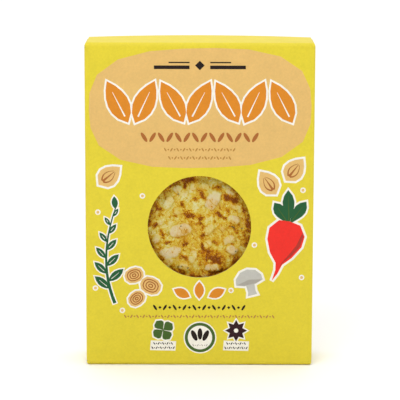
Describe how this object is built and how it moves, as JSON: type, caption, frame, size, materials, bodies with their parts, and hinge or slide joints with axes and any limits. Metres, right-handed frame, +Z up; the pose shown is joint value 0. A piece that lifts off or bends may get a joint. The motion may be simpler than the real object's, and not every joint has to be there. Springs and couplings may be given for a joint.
{
  "type": "tempeh cake in a windowed carton",
  "caption": "Upright flat folding carton with a round window in its front, holding a film-wrapped cake of curry tempeh that shows through it.",
  "frame": {"origin": "middle of the carton's underside", "axes": "+Z up, along the carton's height; -Y out of the front panel with the window; +X to the right as seen from the front"},
  "size_m": [0.11, 0.028, 0.159],
  "materials": {
    "printed_board": "printed yellow, smooth satin coating",
    "film_wrapped_tempeh": "clear film drawn tight on pressed soybeans with curry"
  },
  "bodies": {
    "root": {"carton": "printed_board", "tempeh_cake": "film_wrapped_tempeh"}
  },
  "joints": []
}
